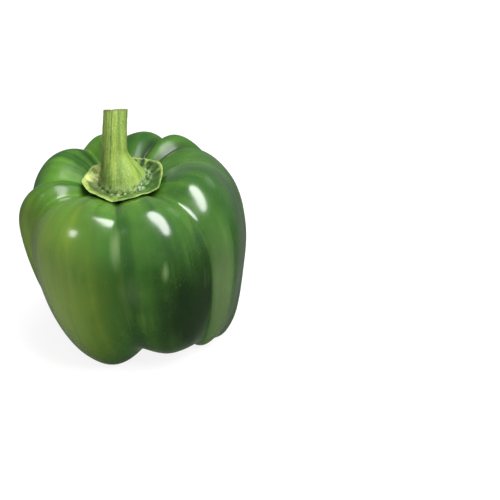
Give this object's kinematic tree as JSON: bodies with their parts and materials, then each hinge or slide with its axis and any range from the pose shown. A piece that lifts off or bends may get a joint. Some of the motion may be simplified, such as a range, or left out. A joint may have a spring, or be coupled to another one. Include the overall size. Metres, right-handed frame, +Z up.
{
  "type": "bell pepper",
  "caption": "Whole green bell pepper with rounded lobes, standing on its blossom end, with its calyx and a short cut stem.",
  "frame": {"origin": "on the table, in the middle of the fruit's outline", "axes": "+Z up along the fruit, -Y towards the front, +X to its right"},
  "size_m": [0.088, 0.0826, 0.0998],
  "materials": {
    "skin": "waxy glossy green skin, yellower on one side",
    "calyx": "matte, wrinkled, yellow green",
    "stem": "satin, ribbed, pale yellow green, dry at its cut end"
  },
  "bodies": {
    "root": {"fruit": "skin", "calyx": "calyx", "stem": "stem"}
  },
  "joints": []
}
